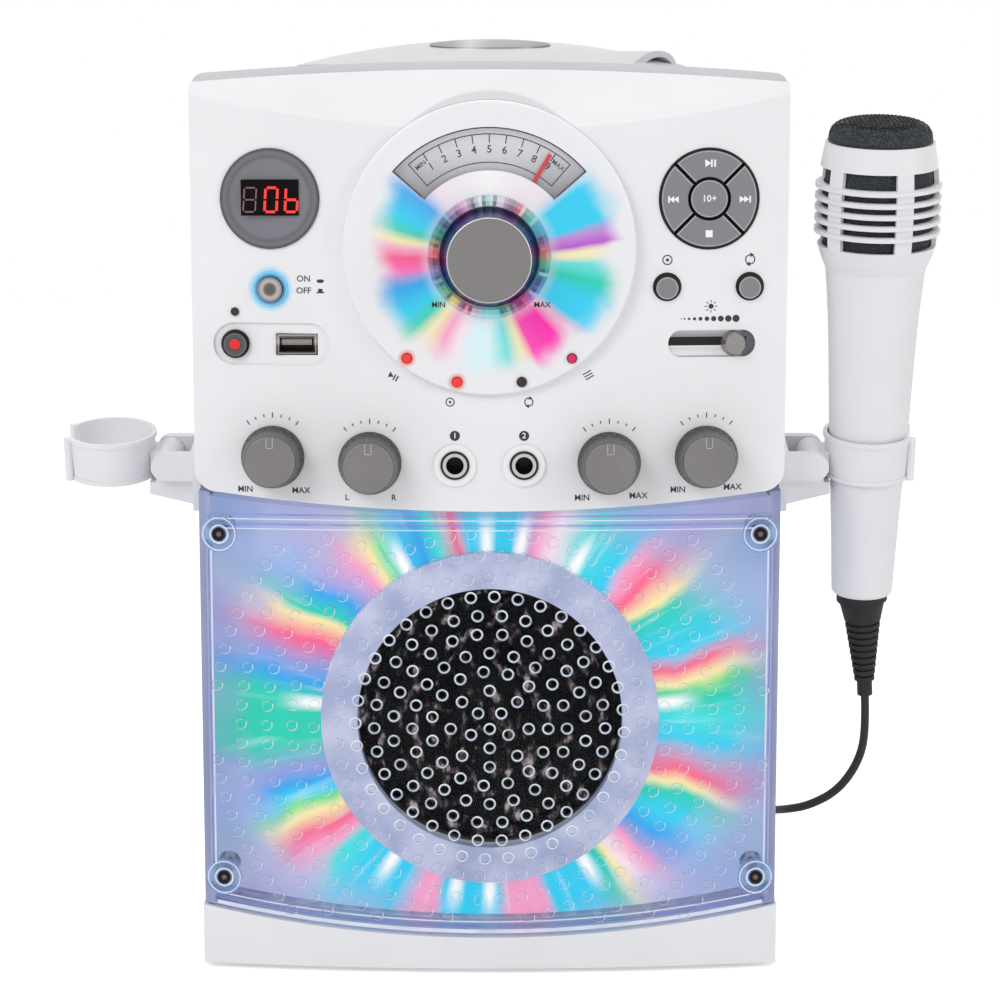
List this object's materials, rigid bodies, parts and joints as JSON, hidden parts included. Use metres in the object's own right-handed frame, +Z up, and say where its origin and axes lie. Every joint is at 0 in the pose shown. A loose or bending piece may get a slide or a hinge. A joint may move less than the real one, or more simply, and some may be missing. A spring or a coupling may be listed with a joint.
{
  "type": "karaoke machine",
  "caption": "Table-top karaoke machine: bowed cabinet, lit dial and gauge, clear light window over a speaker, lidded disc well, folding side holders and a corded microphone.",
  "frame": {"origin": "on the floor, midway between the front of the speaker window and the back wall, in the middle of the cabinet's width", "axes": "+X to the right seen from the front, +Y from the front to the back, +Z up"},
  "size_m": [0.3328, 0.292, 0.3554],
  "materials": {
    "white": "glossy moulded shell",
    "white_satin": "satin moulded shell",
    "clear": "clear glossy moulding",
    "smoke": "glossy dark window",
    "mirror_film": "crinkled reflective sheet",
    "lamp_white": "milky translucent",
    "lamp_red": "lit red guide",
    "black_gloss": "glossy black",
    "black_matte": "fine matt",
    "grey_key": "mid grey satin",
    "silver": "satin silver",
    "steel": "plain",
    "chrome": "polished",
    "board": "lacquered board",
    "rubber": "soft matt",
    "foam": "open foam",
    "needle_red": "red paint",
    "dial_white": "translucent, lit from behind",
    "crystal": "cut facets"
  },
  "bodies": {
    "cabinet_body": {"front_cabinet": "white", "rear_cabinet": "white_satin", "base_plinth": "white", "top_deck": "white", "feet": "rubber", "cabinet_screws": "steel", "rear_sockets": "black_matte", "lower_window": "clear", "crystal_ring": "crystal", "light_boards": "board", "reflector": "mirror_film", "speaker_ring": "lamp_white", "speaker_frame": "steel", "speaker_cone": "black_gloss", "indicator_lights": "lamp_red", "dial_disc": "dial_white", "gauge_face": "silver", "gauge_lens": "clear", "usb_socket": "chrome", "mic_jacks": "chrome", "display_lens": "smoke", "control_board": "board", "potentiometers": "steel", "amplifier_board": "board", "mechanism_chassis": "steel", "spindle_motor": "steel", "holder_brackets": "white", "right_holder_ring": "white", "mic_cord": "rubber", "cord_coil": "rubber", "mic_plug": "black_matte"},
    "volume_body": {"volume_knob": "silver"},
    "needle_body": {"gauge_needle": "needle_red"},
    "idler_body": {"idler_gear": "white_satin"},
    "voice_control_body": {"voice_control_knob": "grey_key"},
    "balance_body": {"balance_knob": "grey_key"},
    "echo_body": {"echo_knob": "grey_key"},
    "mic_volume_body": {"mic_volume_knob": "grey_key"},
    "up_press_body": {"up_key": "grey_key"},
    "down_press_body": {"down_key": "grey_key"},
    "left_press_body": {"left_key": "grey_key"},
    "right_press_body": {"right_key": "grey_key"},
    "skip_press_body": {"skip_key": "grey_key"},
    "record_press_body": {"record_button": "grey_key"},
    "source_press_body": {"source_button": "grey_key"},
    "repeat_press_body": {"repeat_button": "grey_key"},
    "power_press_body": {"power_button": "silver"},
    "slider_body": {"light_slider": "black_matte"},
    "turntable_body": {"turntable": "black_matte"},
    "sled_body": {"laser_sled": "black_matte"},
    "lid_body": {"lid": "white", "lid_window": "silver", "disc_clamp": "black_matte"},
    "left_ring_body": {"left_holder_ring": "white"},
    "microphone_body": {"mic_handle": "white", "head_shell": "white", "mic_grille": "black_matte", "mic_foam": "foam", "mic_capsule": "silver", "strain_relief": "rubber"}
  },
  "joints": [
    {"name": "volume_turn", "type": "hinge", "parent": "cabinet_body", "child": "volume_body", "pos_m": [0, -0.1025, 0.2755], "axis": [0, 1, 0], "range_deg": [-253.9, 26.1]},
    {"name": "needle_turn", "type": "hinge", "parent": "cabinet_body", "child": "needle_body", "pos_m": [0, -0.0985, 0.2755], "axis": [0, 1, 0], "range_deg": [-69.2, 7.2]},
    {"name": "idler_turn", "type": "hinge", "parent": "cabinet_body", "child": "idler_body", "pos_m": [0, -0.0965, 0.2615], "axis": [0, 1, 0], "range_deg": [-13.7, 132.6]},
    {"name": "voice_control_turn", "type": "hinge", "parent": "cabinet_body", "child": "voice_control_body", "pos_m": [-0.0808, -0.099, 0.2007], "axis": [0, 1, 0], "range_deg": [-140, 140]},
    {"name": "balance_turn", "type": "hinge", "parent": "cabinet_body", "child": "balance_body", "pos_m": [-0.0445, -0.099, 0.1987], "axis": [0, 1, 0], "range_deg": [-140, 140]},
    {"name": "echo_turn", "type": "hinge", "parent": "cabinet_body", "child": "echo_body", "pos_m": [0.0445, -0.099, 0.1987], "axis": [0, 1, 0], "range_deg": [-140, 140]},
    {"name": "mic_volume_turn", "type": "hinge", "parent": "cabinet_body", "child": "mic_volume_body", "pos_m": [0.0808, -0.099, 0.2007], "axis": [0, 1, 0], "range_deg": [-140, 140]},
    {"name": "up_press", "type": "slide", "parent": "cabinet_body", "child": "up_press_body", "axis": [0, 1, 0], "range_m": [0, 0.0006], "stiffness_N_per_m": 600},
    {"name": "down_press", "type": "slide", "parent": "cabinet_body", "child": "down_press_body", "axis": [0, 1, 0], "range_m": [0, 0.0006], "stiffness_N_per_m": 600},
    {"name": "left_press", "type": "slide", "parent": "cabinet_body", "child": "left_press_body", "axis": [0, 1, 0], "range_m": [0, 0.0006], "stiffness_N_per_m": 600},
    {"name": "right_press", "type": "slide", "parent": "cabinet_body", "child": "right_press_body", "axis": [0, 1, 0], "range_m": [0, 0.0006], "stiffness_N_per_m": 600},
    {"name": "skip_press", "type": "slide", "parent": "cabinet_body", "child": "skip_press_body", "axis": [0, 1, 0], "range_m": [0, 0.0006], "stiffness_N_per_m": 600},
    {"name": "record_press", "type": "slide", "parent": "cabinet_body", "child": "record_press_body", "axis": [0, 1, 0], "range_m": [0, 0.0008], "stiffness_N_per_m": 500},
    {"name": "source_press", "type": "slide", "parent": "cabinet_body", "child": "source_press_body", "axis": [0, 1, 0], "range_m": [0, 0.0008], "stiffness_N_per_m": 500},
    {"name": "repeat_press", "type": "slide", "parent": "cabinet_body", "child": "repeat_press_body", "axis": [0, 1, 0], "range_m": [0, 0.0008], "stiffness_N_per_m": 500},
    {"name": "power_press", "type": "slide", "parent": "cabinet_body", "child": "power_press_body", "axis": [0, 1, 0], "range_m": [0, 0.0022], "stiffness_N_per_m": 400},
    {"name": "light_slide", "type": "slide", "parent": "cabinet_body", "child": "slider_body", "axis": [0.9941, 0.1086, 0], "range_m": [-0.0195, 0.003]},
    {"name": "turntable_spin", "type": "hinge", "parent": "cabinet_body", "child": "turntable_body", "pos_m": [0, 0.002, 0.329], "axis": [0, 0, 1], "continuous": true},
    {"name": "sled_travel", "type": "slide", "parent": "cabinet_body", "child": "sled_body", "axis": [0, -1, 0], "range_m": [0, 0.03]},
    {"name": "lid_hinge", "type": "hinge", "parent": "cabinet_body", "child": "lid_body", "pos_m": [0, 0.0845, 0.3434], "axis": [-1, 0, 0], "range_deg": [0, 75]},
    {"name": "left_ring_fold", "type": "hinge", "parent": "cabinet_body", "child": "left_ring_body", "pos_m": [-0.1244, -0.0576, 0.19544], "axis": [0, 0.9799, 0.1994], "range_deg": [0, 90]},
    {"name": "mic_lift", "type": "slide", "parent": "cabinet_body", "child": "microphone_body", "axis": [0, -0.1478, 0.989], "range_m": [0, 0.11]}
  ],
  "couplings": [
    {"joint": "needle_turn", "follows": "volume_turn", "ratio": 0.27221},
    {"joint": "idler_turn", "follows": "volume_turn", "ratio": -0.52174}
  ]
}
